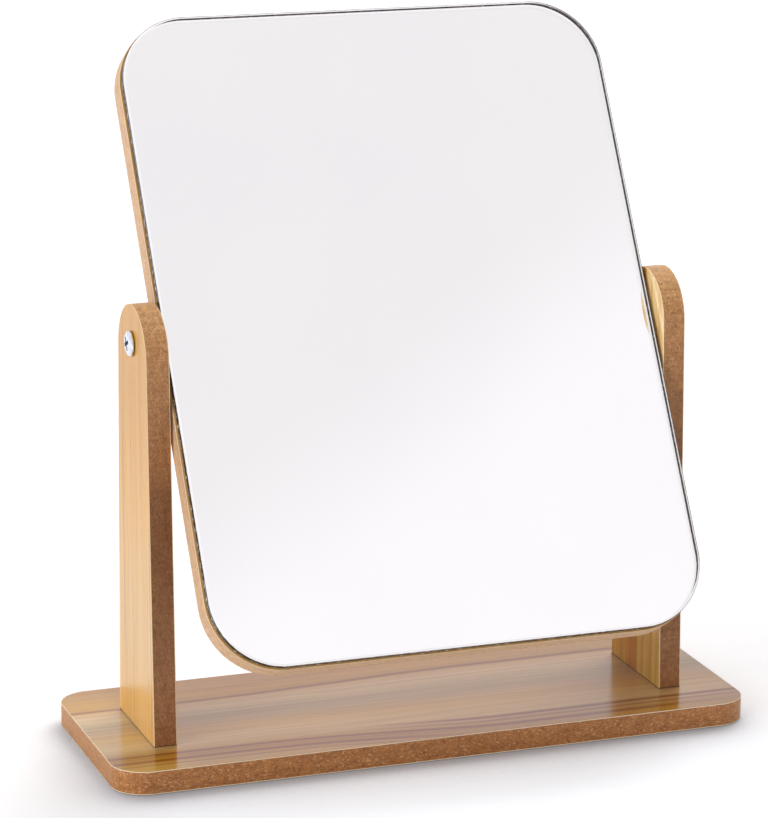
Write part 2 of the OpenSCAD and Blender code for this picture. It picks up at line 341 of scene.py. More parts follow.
# painted light and shade: brighter colours than the base's edge, which the tone along takes down, most of all
# half way up, and least at the arch's crest, which faces up
uprightEdgeLook = {
    "name": "sawnFibreboardBrownUpright",
    "dark": "#AA7447", "middle": "#D19A5F", "light": "#F2BC80", "chip": "#FACFA3", "fleck": "#87582B",
    "chips": 0.55, "sawMarks": 0.3,
    "along": [(9, "#B4A291"), (30, "#B3A396"), (45, "#AC9C93"), (84, "#9B8A80"), (104, "#9E8D7E"),
              (126, "#C6B7AA"), (148, "#D0C4BA"), (160, "#DAD0C9"), (164, "#E6E0DD"), (168, "#ECEBEA"),
              (171, "#F4F4F5"), (174, "#FFFFFF")],
    "foot": baseTop,
}
# painted light: the tone along keeps the bottom edge, which faces down into shade, lighter than the rest
mirrorEdgeLook = {
    "name": "sawnFibreboardPale",
    "dark": "#BA8C64", "middle": "#D6AE8A", "light": "#E6C8A8", "chip": "#F2DEC6", "fleck": "#A07450",
    "chips": 0.4, "sawMarks": 0.15,
    "along": [(0, "#FFFFFF"), (12, "#FFFFFF"), (32, "#F8F3EC"), (300, "#F8F3EC")],
}


# how often each pattern repeats in a millimetre along, across and through the board
fibreboardPatterns = {
    "mottle": (0.26, 0.5, 0.5),  # about 4 by 2 mm
    "bundles": (1.0, 1.7, 1.7),  # about 1 by 0.6 mm
    "chips": 1.15,  # of the bundles' scale, so about 0.9 by 0.5 mm
    "sawMarks": (1.3, 0.1, 0.08),  # about 0.8 mm apart, straight through the board's thickness
    "mottleAmount": 0.45,
}


def sawnFibreboard(board, look):
    # Medium-density fibreboard sawn across and lightly sanded: compressed fibre bundles show as mottled short
    # flecks, darker where glue has soaked in, with pale chips, quite matt and a little furry at low angles.
    material, tree = startMaterial(look["name"])
    sheet, axes = boardSheet(tree, board)
    broad = addNode(tree, "Mapping", {"Vector": sheet, "Scale": fibreboardPatterns["mottle"]})
    mottle = addNode(tree, "TexNoise", {
        "Vector": broad.outputs[0], "Scale": 1.0, "Detail": 3.0, "Roughness": 0.55})
    fine = addNode(tree, "Mapping", {"Vector": sheet, "Scale": fibreboardPatterns["bundles"]})
    bundles = addNode(tree, "TexNoise", {
        "Vector": fine.outputs[0], "Scale": 1.0, "Detail": 5.0, "Roughness": 0.75})
    cells = addNode(tree, "TexVoronoi", {
        "Vector": fine.outputs[0], "Scale": fibreboardPatterns["chips"]})
    cellTone = addNode(tree, "SeparateColor", {"Color": cells.outputs["Color"]})
    strokes = addNode(tree, "Mapping", {"Vector": sheet, "Scale": fibreboardPatterns["sawMarks"]})
    saw = addNode(tree, "TexNoise", {"Vector": strokes.outputs[0], "Scale": 1.0, "Detail": 2.0})
    # the three patterns added up, and spread about their mean, each pattern's own mean being a half
    both = addNode(tree, "Math", {
        0: mottle.outputs["Fac"], 1: fibreboardPatterns["mottleAmount"], 2: bundles.outputs["Fac"]},
        operation="MULTIPLY_ADD")
    sawn = addNode(tree, "Math", {
        0: saw.outputs["Fac"], 1: look["sawMarks"], 2: both.outputs[0]}, operation="MULTIPLY_ADD")
    mean = 0.5 * (1 + fibreboardPatterns["mottleAmount"] + look["sawMarks"])
    tone = addNode(tree, "MapRange", {
        "Value": sawn.outputs[0], "From Min": mean - 0.24, "From Max": mean + 0.24})
    body = addNode(tree, "ValToRGB", {"Fac": tone.outputs[0]}, stops=[
        (0.0, hexColour(look["dark"])), (0.5, hexColour(look["middle"])), (1.0, hexColour(look["light"]))])
    chipMask = addNode(tree, "MapRange", {
        "Value": cellTone.outputs["Red"], "From Min": 0.84, "From Max": 0.95, "To Max": 0.75 * look["chips"]})
    fleckMask = addNode(tree, "MapRange", {
        "Value": cellTone.outputs["Green"], "From Min": 0.82, "From Max": 0.94,
        "To Max": 0.7 * look["chips"]})
    chipped = addNode(tree, "Mix", {
        "Factor": chipMask.outputs[0], "A": body.outputs["Color"], "B": hexColour(look["chip"])},
        data_type="RGBA")
    flecked = addNode(tree, "Mix", {
        "Factor": fleckMask.outputs[0], "A": chipped.outputs["Result"], "B": hexColour(look["fleck"])},
        data_type="RGBA")
    # painted light and shade along the edge
    edgeWithPaintedLight = toned(tree, look, axes["X"], flecked.outputs["Result"])
    shaded = footShaded(tree, look, axes["X"], edgeWithPaintedLight)
    dull = addNode(tree, "MapRange", {
        "Value": bundles.outputs["Fac"], "To Min": 0.42, "To Max": 0.62})
    furred = addNode(tree, "Bump", {
        "Height": bundles.outputs["Fac"], "Strength": 0.5, "Distance": 0.15 * mm})
    shader = addNode(tree, "BsdfPrincipled", {
        "Base Color": shaded, "Roughness": dull.outputs[0], "IOR": 1.5,
        "Sheen Weight": 0.6, "Sheen Roughness": 0.4, "Sheen Tint": hexColour("#F0D2AC"),
        "Normal": furred.outputs[0]})
    finishMaterial(tree, shader)
    return material


zincOutside = {"name": "brightZincPlatedSteel", "low": "#D2D8E4", "high": "#F2F4FA", "roughness": 0.14}
# painted shade: a dark copy of the plate for the recess and under the head's rim
zincPaintedShade = {"name": "zincPlatedSteelPaintedShade", "low": "#3C414C", "high": "#6A707E", "roughness": 0.32}


def zincPlate(look):
    # Steel with bright zinc plate, pressed and barrel plated: a cool blue-white metal with soft cloudy gloss.
    # Its dark copy is painted shade, in the cross recess and under the head's rim.
    material, tree = startMaterial(look["name"])
    place = addNode(tree, "TexCoord")
    # clouds of about 1.5 mm and barrel marks of 0.3 mm
    clouds = addNode(tree, "TexNoise", {
        "Vector": place.outputs["Object"], "Scale": 650.0, "Detail": 3.0})
    marks = addNode(tree, "TexNoise", {
        "Vector": place.outputs["Object"], "Scale": 3300.0, "Detail": 2.0})
    colour = addNode(tree, "ValToRGB", {"Fac": clouds.outputs["Fac"]}, stops=[
        (0.3, hexColour(look["low"])), (0.7, hexColour(look["high"]))])
    gloss = addNode(tree, "MapRange", {
        "Value": clouds.outputs["Fac"], "To Min": look["roughness"], "To Max": look["roughness"] + 0.12})
    dents = addNode(tree, "Bump", {
        "Height": marks.outputs["Fac"], "Strength": 0.15, "Distance": 0.02 * mm})
    shader = addNode(tree, "BsdfPrincipled", {
        "Base Color": colour.outputs["Color"], "Metallic": 1.0, "Roughness": gloss.outputs[0],
        "Normal": dents.outputs[0]})
    finishMaterial(tree, shader)
    return material


def mirrorSilver():
    # Silver laid down on float glass by a wet process: an almost perfect mirror with a hardly visible haze
    material, tree = startMaterial("wetDepositedSilver")
    place = addNode(tree, "TexCoord")
    # patches of about 80 mm
    haze = addNode(tree, "TexNoise", {
        "Vector": place.outputs["Object"], "Scale": 12.0, "Detail": 2.0})
    colour = addNode(tree, "ValToRGB", {"Fac": haze.outputs["Fac"]}, stops=[
        (0.35, hexColour("#FDFCFE")), (0.65, hexColour("#FFFEFF"))])
    gloss = addNode(tree, "MapRange", {
        "Value": haze.outputs["Fac"], "From Min": 0.3, "From Max": 0.7, "To Max": 0.012})
    shader = addNode(tree, "BsdfPrincipled", {
        "Base Color": colour.outputs["Color"], "Metallic": 1.0, "Roughness": gloss.outputs[0]})
    finishMaterial(tree, shader)
    return material


def mirrorBackingPaint():
    # Protective paint poured over the back of the silver: dull grey-brown with a fine orange-peel skin
    material, tree = startMaterial("mirrorBackingPaint")
    place = addNode(tree, "TexCoord")
    # orange peel of about 1 mm
    peel = addNode(tree, "TexNoise", {
        "Vector": place.outputs["Object"], "Scale": 1000.0, "Detail": 1.0})
    colour = addNode(tree, "ValToRGB", {"Fac": peel.outputs["Fac"]}, stops=[
        (0.3, hexColour("#3A332E")), (0.7, hexColour("#4B433C"))])
    skin = addNode(tree, "Bump", {
        "Height": peel.outputs["Fac"], "Strength": 0.3, "Distance": 0.03 * mm})
    shader = addNode(tree, "BsdfPrincipled", {
        "Base Color": colour.outputs["Color"], "Roughness": 0.55, "Normal": skin.outputs[0]})
    finishMaterial(tree, shader)
    return material


def floatGlass():
    # Clear soda-lime float glass with a polished bevel: water-clear, so that only its gloss and bevel show
    material, tree = startMaterial("clearFloatGlass")
    place = addNode(tree, "TexCoord")
    # wipe marks of about 60 mm, too faint to see but for the sheen
    wipes = addNode(tree, "TexNoise", {
        "Vector": place.outputs["Object"], "Scale": 16.0, "Detail": 2.0})
    gloss = addNode(tree, "MapRange", {
        "Value": wipes.outputs["Fac"], "From Min": 0.4, "From Max": 0.7, "To Max": 0.01})
    shader = addNode(tree, "BsdfPrincipled", {
        "Base Color": hexColour("#FFFFFF"), "Roughness": gloss.outputs[0], "IOR": 1.52,
        "Transmission Weight": 1.0})
    finishMaterial(tree, shader)
    return material


def groundGlassRim():
    # Float glass at its edge, seamed on a belt and in part run over by the backing paint: matt, with pale
    # nicks where it has chipped. Its dark brown is the paint's on the side, and painted shade on the seams
    # for the sheet's dark depth
    material, tree = startMaterial("seamedGlassRim")
    place = addNode(tree, "TexCoord")
    # belt scratches and pale nicks of 0.5 to 2 mm
    nicks = addNode(tree, "TexNoise", {
        "Vector": place.outputs["Object"], "Scale": 600.0, "Detail": 4.0, "Roughness": 0.7})
    colour = addNode(tree, "ValToRGB", {"Fac": nicks.outputs["Fac"]}, stops=[
        (0.35, hexColour("#33261B")), (0.53, hexColour("#5A4838")), (0.6, hexColour("#A79C92")),
        (0.66, hexColour("#E6E2DE"))])
    gloss = addNode(tree, "MapRange", {
        "Value": nicks.outputs["Fac"], "To Min": 0.55, "To Max": 0.8})
    shader = addNode(tree, "BsdfPrincipled", {
        "Base Color": colour.outputs["Color"], "Roughness": gloss.outputs[0], "IOR": 1.3})
    finishMaterial(tree, shader)
    return material


def foamTape():
    # Double-sided polyethylene foam tape: off-white, matt, with tiny open cells at its cut sides
    material, tree = startMaterial("polyethyleneFoamTape")
    place = addNode(tree, "TexCoord")
    # cells of about 0.2 mm
    cells = addNode(tree, "TexVoronoi", {"Vector": place.outputs["Object"], "Scale": 5000.0})
    colour = addNode(tree, "ValToRGB", {"Fac": cells.outputs["Distance"]}, stops=[
        (0.0, hexColour("#C9C6BD")), (0.6, hexColour("#EBE9E2"))])
    shader = addNode(tree, "BsdfPrincipled", {
        "Base Color": colour.outputs["Color"], "Roughness": 0.8})
    finishMaterial(tree, shader)
    return material


def mouldedNylon():
    # Natural nylon, injection moulded: milky off-white with a soft wax-like gloss and faint flow marks
    material, tree = startMaterial("mouldedNaturalNylon")
    place = addNode(tree, "TexCoord")
    # flow marks of about 2 mm
    flow = addNode(tree, "TexNoise", {
        "Vector": place.outputs["Object"], "Scale": 500.0, "Detail": 2.0, "Distortion": 0.6})
    colour = addNode(tree, "ValToRGB", {"Fac": flow.outputs["Fac"]}, stops=[
        (0.3, hexColour("#DAD6C8")), (0.7, hexColour("#EEEBE0"))])
    gloss = addNode(tree, "MapRange", {"Value": flow.outputs["Fac"], "To Min": 0.35, "To Max": 0.5})
    shader = addNode(tree, "BsdfPrincipled", {
        "Base Color": colour.outputs["Color"], "Roughness": gloss.outputs[0], "IOR": 1.53})
    finishMaterial(tree, shader)
    return material


baseFace = woodGrainLaminate(boards["base"], baseLaminate)
uprightFace = woodGrainLaminate(boards["upright"], uprightLaminate)
uprightInnerFace = woodGrainLaminate(boards["upright"], innerLaminate)
mirrorFace = woodGrainLaminate(boards["mirror"], mirrorLaminate)
baseEdge = sawnFibreboard(boards["base"], baseEdgeLook)
uprightEdge = sawnFibreboard(boards["upright"], uprightEdgeLook)
mirrorEdge = sawnFibreboard(boards["mirror"], mirrorEdgeLook)
zinc = zincPlate(zincOutside)
zincWithPaintedShade = zincPlate(zincPaintedShade)
silver = mirrorSilver()
paint = mirrorBackingPaint()
glass = floatGlass()
rim = groundGlassRim()
tape = foamTape()
nylon = mouldedNylon()
print("materials made")


def addPiece(name, mesh, body, replaced):
    # an object at the origin, which moves with its body and takes the CAD node's place
    piece = bpy.data.objects.new(name, mesh)
    bpy.context.scene.collection.objects.link(piece)
    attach(piece, body)
    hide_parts(replaced)
    return piece


def softenEdges(mesh, planes):
    # edge weights for Bevel: 1 where an edge lies in one of the planes and its two faces meet at over 60
    # degrees, which is where the sum of their unit normals is shorter than the root of 3
    touching = 0.02 * mm
    ends = np.empty(len(mesh.edges) * 2, np.int32)
    mesh.edges.foreach_get("vertices", ends)
    spots = np.empty(len(mesh.vertices) * 3, np.float32)
    mesh.vertices.foreach_get("co", spots)
    spots = spots.reshape(-1, 3)
    normals = np.empty(len(mesh.polygons) * 3, np.float32)
    mesh.polygons.foreach_get("normal", normals)
    corners = np.empty(len(mesh.polygons), np.int32)
    mesh.polygons.foreach_get("loop_total", corners)
    loopEdge = np.empty(len(mesh.loops), np.int32)
    mesh.loops.foreach_get("edge_index", loopEdge)
    total = np.zeros((len(mesh.edges), 3))
    np.add.at(total, loopEdge, np.repeat(normals.reshape(-1, 3), corners, axis=0))
    sharp = (total ** 2).sum(axis=1) < 3.0
    inPlane = np.zeros(len(mesh.edges), bool)
    for direction, distance in planes:
        near = np.abs(spots @ np.array(direction) - distance * mm) < touching
        inPlane |= near[ends.reshape(-1, 2)].all(axis=1)
    weights = (sharp & inPlane).astype(np.float32)
    mesh.attributes.new("bevel_weight_edge", "FLOAT", "EDGE").data.foreach_set("value", weights)


def boardPiece(name, node, body, material, planes, arris):
    # the board with all its holes, its outer corners worn round by a small radius
    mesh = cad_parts[node].data.copy()
    mesh.name = name
    shape = bmesh.new()
    shape.from_mesh(mesh)
    bmesh.ops.remove_doubles(shape, verts=shape.verts, dist=0.001 * mm)
    bmesh.ops.dissolve_limit(shape, angle_limit=math.radians(0.2), verts=shape.verts, edges=shape.edges)
    shape.to_mesh(mesh)
    shape.free()
    mesh.materials.clear()
    mesh.materials.append(material)
    mesh.shade_smooth()
    mesh.set_sharp_from_angle(angle=math.radians(30))
    softenEdges(mesh, planes)
    piece = addPiece(name, mesh, body, node)
    if planes:
        bevel = piece.modifiers.new("arris", "BEVEL")
        bevel.limit_method = "WEIGHT"
        bevel.width = arris * mm
        bevel.segments = 3
        bevel.use_clamp_overlap = False
        bevel.harden_normals = True
    return piece


# how far out the uprights' inner and outer faces lie, and the radii to which edges are worn, in millimetres
standBoards = {
    "inner": 98.5, "outer": 107.5,
    "arris": 0.2, "footArris": 0.3, "underArris": 0.12,  # the last is less than the screw heads are sunk
}

up, right, left = (0, 0, 1), (1, 0, 0), (-1, 0, 0)
seat = (up, baseTop)  # the plane of the base's top face and of the uprights' feet
boardPiece("baseCore", "base_core", "stand", baseEdge, [], 0)
boardPiece("baseTopLaminate", "base_top_laminate", "stand", baseFace,
           [seat], standBoards["arris"])
boardPiece("baseBottomLaminate", "base_bottom_laminate", "stand", baseFace,
           [(up, 0.0)], standBoards["underArris"])
for side, outward in (("left", left), ("right", right)):
    boardPiece(side + "UprightCore", side + "_upright_core", "stand", uprightEdge,
               [seat], standBoards["footArris"])
    boardPiece(side + "UprightOuterLaminate", side + "_upright_outer_laminate", "stand", uprightFace,
               [(outward, standBoards["outer"]), seat], standBoards["arris"])
    boardPiece(side + "UprightInnerLaminate", side + "_upright_inner_laminate", "stand",
               uprightInnerFace, [(outward, standBoards["inner"]), seat], standBoards["arris"])
print("base and uprights made")

# the mirror's sheet sizes and its places on the pivot axis, in millimetres
mirrorSheet = {
    "width": 194.0, "height": 253.0, "cornerRadius": 27.0, "middle": -2.0, "pivotHeight": 159.0,
    "boardHalf": 4.5, "arris": 0.2,
    "silverBack": 5.4, "silverFront": 5.5, "glassFront": 8.5,
    "bevelWidth": 0.9, "bevelDrop": 0.5, "seam": 0.11, "painted": 1.5, "cornerSteps": 32,
    "frontSeam": [(0, -0.03), (0.08, 0.04), (0.16, 0.086)],  # inset, and height from the bevel's foot
    "bevelRound": [(-0.05, -0.015), (0.05, 0)],  # the same, from the bevel's inner edge
    # the silver stays in from the glass's edge, its rear edge is cut at a slant, and it ends short of the
    # glass, so that light meets the two faces in a settled order
    "silverInset": 0.05, "silverSeam": (0.05, 0.03), "silverShort": 0.01,
}
pivotAt = (0.0, 0.0, mirrorSheet["pivotHeight"])
pivotOut = float(np.dot(mirrorOut, pivotAt))
boardPiece("mirrorBoardCore", "mirror_board_core", "mirror", mirrorEdge, [], 0)
boardPiece("mirrorBoardFrontLaminate", "mirror_board_front_laminate", "mirror", mirrorFace,
           [(mirrorOut, pivotOut + mirrorSheet["boardHalf"])], mirrorSheet["arris"])
boardPiece("mirrorBoardRearLaminate", "mirror_board_rear_laminate", "mirror", mirrorFace,
           [(mirrorOut, pivotOut - mirrorSheet["boardHalf"])], mirrorSheet["arris"])
print("mirror board made")


def gridMesh(name, grid, materials, bandSlots=None, joined=False):
    # Rows of points, each closed on itself, joined by four-sided faces. The first and last row get flat
    # faces, or are joined to each other. The faces' signed volume tells whether they have to be turned round.
    rows, columns = grid.shape[:2]
    start = np.arange(rows if joined else rows - 1)[:, None] * columns
    after = (start + columns) % (rows * columns)
    here = np.arange(columns)[None, :]
    beside = (here + 1) % columns
    quads = np.stack([start + here, start + beside, after + beside, after + here], axis=-1).reshape(-1, 4)
    faces = quads.tolist()
    if not joined:
        faces += [list(range(columns))[::-1], list(range((rows - 1) * columns, rows * columns))]
    points = grid.reshape(-1, 3) * mm
    mesh = bpy.data.meshes.new(name)
    mesh.from_pydata(points.tolist(), [], faces)
    for material in materials:
        mesh.materials.append(material)
    if bandSlots is not None:
        slots = np.repeat(np.array(bandSlots[:-2]), columns).tolist() + list(bandSlots[-2:])
        mesh.polygons.foreach_set("material_index", np.array(slots, np.int32))
    mid = points.mean(axis=0)
    a, b, c, d = (points[quads[:, i]] - mid for i in range(4))
    volume = np.einsum("ij,ij->i", a, np.cross(b, c)).sum() + np.einsum("ij,ij->i", a, np.cross(c, d)).sum()
    if volume < 0:
        mesh.flip_normals()
    mesh.update()
    return mesh


def sheetGrid(profile, sheet):
    # A round-cornered rectangle carried along a profile of (inset, height) pairs: the corner centres stay put
    # and the corner radius shrinks by the inset, so each row is an even offset of the outline. The rectangle
    # lies in the mirror's plane through the pivot axis, and the height is square to that.
    steps = sheet["cornerSteps"] + 1
    quarter = np.linspace(0, np.pi / 2, steps)
    angle = (np.arange(4)[:, None] * np.pi / 2 + quarter[None, :]).ravel()
    signX = np.repeat([1, -1, -1, 1], steps)
    signY = np.repeat([1, 1, -1, -1], steps)
    radius = sheet["cornerRadius"]
    centreX = signX * (sheet["width"] / 2 - radius)
    centreY = signY * (sheet["height"] / 2 - radius) + sheet["middle"]
    inset = np.array([p[0] for p in profile])[:, None]
    height = np.array([p[1] for p in profile])[:, None]
    x = centreX[None, :] + (radius - inset) * np.cos(angle)[None, :]
    y = centreY[None, :] + (radius - inset) * np.sin(angle)[None, :]
    z = np.broadcast_to(height, x.shape)
    return (np.array(pivotAt) + x[..., None] * np.array((1.0, 0.0, 0.0))
            + y[..., None] * np.array(mirrorUp) + z[..., None] * np.array(mirrorOut))


def sheetPiece(name, profile, materials, bandSlots, replaced):
    mesh = gridMesh(name, sheetGrid(profile, mirrorSheet), materials, bandSlots)
    # the narrow bands are smooth round the corners, and the two large faces stay truly flat
    smooth = np.ones(len(mesh.polygons), bool)
    smooth[-2:] = False
    mesh.polygons.foreach_set("use_smooth", smooth)
    mesh.set_sharp_from_angle(angle=math.radians(5))
    return addPiece(name, mesh, "mirror", replaced)


seam, glassBack, glassFront = (mirrorSheet[key] for key in ("seam", "silverFront", "glassFront"))
bevelFoot = glassFront - mirrorSheet["bevelDrop"]
glassProfile = [(seam, glassBack), (0, glassBack + seam), (0, glassBack + mirrorSheet["painted"])]
glassProfile += [(inset, bevelFoot + rise) for inset, rise in mirrorSheet["frontSeam"]]
glassProfile += [(mirrorSheet["bevelWidth"] + inset, glassFront + rise)
                 for inset, rise in mirrorSheet["bevelRound"]]
# the seams are ground, and paint from the back has run some way up the side. The rest of the side is clear.
glassSlots = [1, 1, 0, 1, 1, 0, 0, 0, 0]
sheetPiece("mirrorGlass", glassProfile, [glass, rim], glassSlots, "mirror_glass")
inset, (seamIn, seamUp) = mirrorSheet["silverInset"], mirrorSheet["silverSeam"]
silverProfile = [
    (inset + seamIn, mirrorSheet["silverBack"]), (inset, mirrorSheet["silverBack"] + seamUp),
    (inset, mirrorSheet["silverFront"] - mirrorSheet["silverShort"]),
]
# silver in front, paint round its edge and over its back
silverSlots = [1, 1, 1, 0]
sheetPiece("mirrorSilvering", silverProfile, [silver, paint], silverSlots,
           "mirror_silvering")
print("glass and silvering made")


def onAxis(radius, height, angle, origin, outward, sideways):
    # turned points: the origin, plus the height along the outward axis, plus the radius at its angle round it
    outward, sideways = np.array(outward, float), np.array(sideways, float)
    third = np.cross(outward, sideways)
    ring = np.cos(angle)[..., None] * sideways + np.sin(angle)[..., None] * third
    return np.array(origin, float) + height[..., None] * outward + radius[..., None] * ring


pivotScrew = {
    "headDiameter": 9.5, "headHeight": 2.2, "headRim": 0.85, "countersunk": False,
    "thread": 4.8, "root": 3.6, "pitch": 1.8, "length": 25.0, "plain": 0.8, "tip": 4.0,
    "recessLength": 5.4, "recessWidth": 1.4, "recessDepth": 1.6, "recessTurn": 24,
    "columns": 96, "rowGap": 0.16,
}
baseScrew = {
    "headDiameter": 8.0, "headHeight": 2.0, "headRim": 0.0, "countersunk": True,
    "thread": 4.0, "root": 2.8, "pitch": 1.8, "length": 30.0, "plain": 2.2, "tip": 3.5,
    "recessLength": 4.6, "recessWidth": 1.1, "recessDepth": 1.5, "recessTurn": 10,
    "columns": 72, "rowGap": 0.18,
}
# What both kinds share: the rows of points from the recess floor over the lip and crown to the underside
# close to the rim, painted dark as shade, and the powers and widths in the formulas of screwGrid
screwForm = {
    "floorShares": (0.04, 0.3, 0.6, 0.85, 1.0), "floorTaper": 0.84, "lipRows": 2, "crownRows": 15,
    "darkRows": 3, "crownPowers": (3.2, 0.55), "tipPower": 0.8, "ridgeWidth": 0.2, "runIn": 1.2,
    "runOut": 0.75,
}


def screwGrid(look, origin, outward, sideways):
    # Rows from the middle of the cross recess out over the head, under it and down the shaft to the tip. The
    # recess rows follow the outline of a plus sign, whose reach in each direction is the smaller of the arm's
    # half length over the cosine and its half width over the sine of the angle from the nearest arm. The
    # thread is a ridge where height over pitch less the turn is half way between two whole numbers.
    angle = np.linspace(0, 2 * np.pi, look["columns"], endpoint=False)[None, :]
    full, thread, shank = (look[key] / 2 for key in ("headDiameter", "thread", "root"))
    bare = 0 * angle
    fromArm = np.abs(np.mod(angle + np.pi / 4, np.pi / 2) - np.pi / 4)
    cross = np.minimum(look["recessLength"] / 2 / np.cos(fromArm),
                       look["recessWidth"] / 2 / np.maximum(np.sin(fromArm), 1e-6))
    inner, outer = screwForm["crownPowers"]

    def crown(radius):
        # nearly flat in the middle and falling round to the rim, by a power of the share of the radius
        share = np.clip(radius / full, 0, 1)
        if look["countersunk"]:
            return 0 * share
        return look["headRim"] + (look["headHeight"] - look["headRim"]) * (1 - share ** inner) ** outer

    share = np.array(screwForm["floorShares"])[:, None]
    floor = share * cross * screwForm["floorTaper"]
    rows = [(floor, crown(floor) - look["recessDepth"] * (1 - 0.5 * share ** 1.5))]
    # the recess's wall ends in a small worn edge, from where the crown's rows start
    rows += [(cross * 0.97, crown(cross) - 0.12), (cross + 0.02, crown(cross) - 0.02)]
    lip = cross + 0.1
    spread = np.sin(np.linspace(0, np.pi / 2, screwForm["crownRows"]))[:, None]
    top = lip + (full - lip) * spread
    rows += [(top, crown(top))]
    # radius and height of each row under the head: a cone down to the thread, or a round rim and a flat seat
    if look["countersunk"]:
        under = [(full - 0.02, -0.06), (thread, -look["headHeight"]), (shank, -look["headHeight"] - 0.3)]
        shaftTop = -look["headHeight"] - 0.35
    else:
        under = [(full, 0.4), (full - 0.12, 0.22), (full - 0.45, 0.02), (shank + 0.2, 0.0), (shank, -0.1)]
        shaftTop = -0.15
    rows += [(bare + radius, bare + height) for radius, height in under]
    low = -look["length"]
    height = np.arange(shaftTop, low, -look["rowGap"])[:, None]
    core = shank * np.clip((height - low) / look["tip"], 0, 1) ** screwForm["tipPower"]
    turn = np.mod(height / look["pitch"] - angle / (2 * np.pi), 1.0)
    ridge = np.clip(1 - np.abs(turn - 0.5) / screwForm["ridgeWidth"], 0, 1)
    runIn = np.clip((shaftTop - look["plain"] - height) / screwForm["runIn"], 0, 1)
    runOut = np.clip((height - low) / (screwForm["runOut"] * look["tip"]), 0, 1)
    shaft = core + (thread - shank) * ridge * runIn * runOut
    rows += [(np.maximum(shaft, 0.05), height + bare), (bare + 0.04, bare + low)]
    radius = np.concatenate([np.broadcast_to(r, (r.shape[0], angle.shape[1])) for r, h in rows])
    level = np.concatenate([np.broadcast_to(h, (h.shape[0], angle.shape[1])) for r, h in rows])
    turned = angle + math.radians(look["recessTurn"])
    return onAxis(radius, level, np.broadcast_to(turned, radius.shape), origin, outward, sideways)


def screwPiece(name, look, origin, outward, sideways, body, replaced):
    grid = screwGrid(look, origin, outward, sideways)
    # the dark copy, painted shade, is in the recess, with the flat face at its middle, and under the head's
    # rim
    floorRows = len(screwForm["floorShares"])
    rimRow = floorRows + screwForm["lipRows"] + screwForm["crownRows"]
    bandSlots = np.zeros(len(grid) + 1, int)
    bandSlots[:floorRows] = 1
    bandSlots[rimRow:rimRow + screwForm["darkRows"]] = 1
    bandSlots[-2] = 1
    mesh = gridMesh(name, grid, [zinc, zincWithPaintedShade], bandSlots)
    mesh.shade_smooth()
    mesh.set_sharp_from_angle(angle=math.radians(38))
    return addPiece(name, mesh, body, replaced)


# where the screws and washers sit, and the washer's ring, in millimetres
pivotFit = {
    "headAt": standBoards["outer"], "washerFrom": 97.5, "washerTo": standBoards["inner"],
    "washerRadius": 4.5, "bore": 2.48, "round": 0.18, "roundSteps": 5, "columns": 64,
}
baseFit = {"x": 103.0, "y": 12.5, "sink": 0.2}
for side, outward in (("left", left), ("right", right)):
    at = np.array(pivotAt) + pivotFit["headAt"] * np.array(outward)
    screwPiece(side + "PivotScrew", pivotScrew, at, outward, (0, 1, 0), "mirror", side + "_pivot_screw")
    for row, sign in (("front", -1), ("rear", 1)):
        at = (outward[0] * baseFit["x"], sign * baseFit["y"], baseFit["sink"])
        screwPiece(side + row.capitalize() + "BaseScrew", baseScrew, at, (0, 0, -1), (1, 0, 0), "stand",
                   side + "_" + row + "_base_screw")
print("screws made")


def washerPiece(name, outward, replaced):
    # a ring: a small round-cornered rectangle of radius and height, turned about the pivot axis
    steps, worn = pivotFit["roundSteps"], pivotFit["round"]
    inside, outside = pivotFit["bore"] + worn, pivotFit["washerRadius"] - worn
    near, far = pivotFit["washerFrom"] + worn, pivotFit["washerTo"] - worn
    bend = np.linspace(0, np.pi / 2, steps)
    around = (np.arange(4)[:, None] * np.pi / 2 + bend[None, :]).ravel()
    radius = np.repeat([outside, inside, inside, outside], steps) + worn * np.cos(around)
    height = np.repeat([far, far, near, near], steps) + worn * np.sin(around)
    angle = np.linspace(0, 2 * np.pi, pivotFit["columns"], endpoint=False)
    shape = (len(around), len(angle))
    grid = onAxis(np.broadcast_to(radius[:, None], shape), np.broadcast_to(height[:, None], shape),
                  np.broadcast_to(angle[None, :], shape), pivotAt, outward, (0, 1, 0))
    mesh = gridMesh(name, grid, [nylon], joined=True)
    mesh.shade_smooth()
    return addPiece(name, mesh, "mirror", replaced)


washerPiece("leftPivotWasher", left, "left_pivot_washer")
washerPiece("rightPivotWasher", right, "right_pivot_washer")
for node in ("mirror_tape_top", "mirror_tape_middle", "mirror_tape_bottom"):
    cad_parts[node].material_slots[0].material = tape
print("washers and tape made")

studio = {
    "room": 0.52,  # plain light from all round
    "window": {"from": (-0.90, -0.30, 0.32), "level": 0.58, "spread": 50},
    "back": {"from": (0.45, 0.50, 0.74), "level": 0.38, "spread": 40},
    # the floor's half width in metres, how far under the base it lies and to how near a thing it is open in
    # millimetres, and how much it glows for the lens
    "floorColour": "#F2F3F7", "floorHalf": 6.0, "floorGap": 0.3, "floorOpens": 1.0, "floorLift": 0.25,
    # the soft shadow along the base's front and left, which it keeps from a low light behind it on the right:
    # its reach in metres, its cool tone, and where that light lies
    "contact": {"reach": 0.05, "tone": "#46526E", "from": (0.30, 0.70, 0.50)},
    # the walls seen in the mirror: white low down, grey towards the ceiling, whiter to the right
    "mirrorLow": 0.583, "mirrorHigh": 0.627, "mirrorSide": -0.22,
    "mirrorWhite": "#FFFDFF", "mirrorGrey": "#F1F0F0",
}


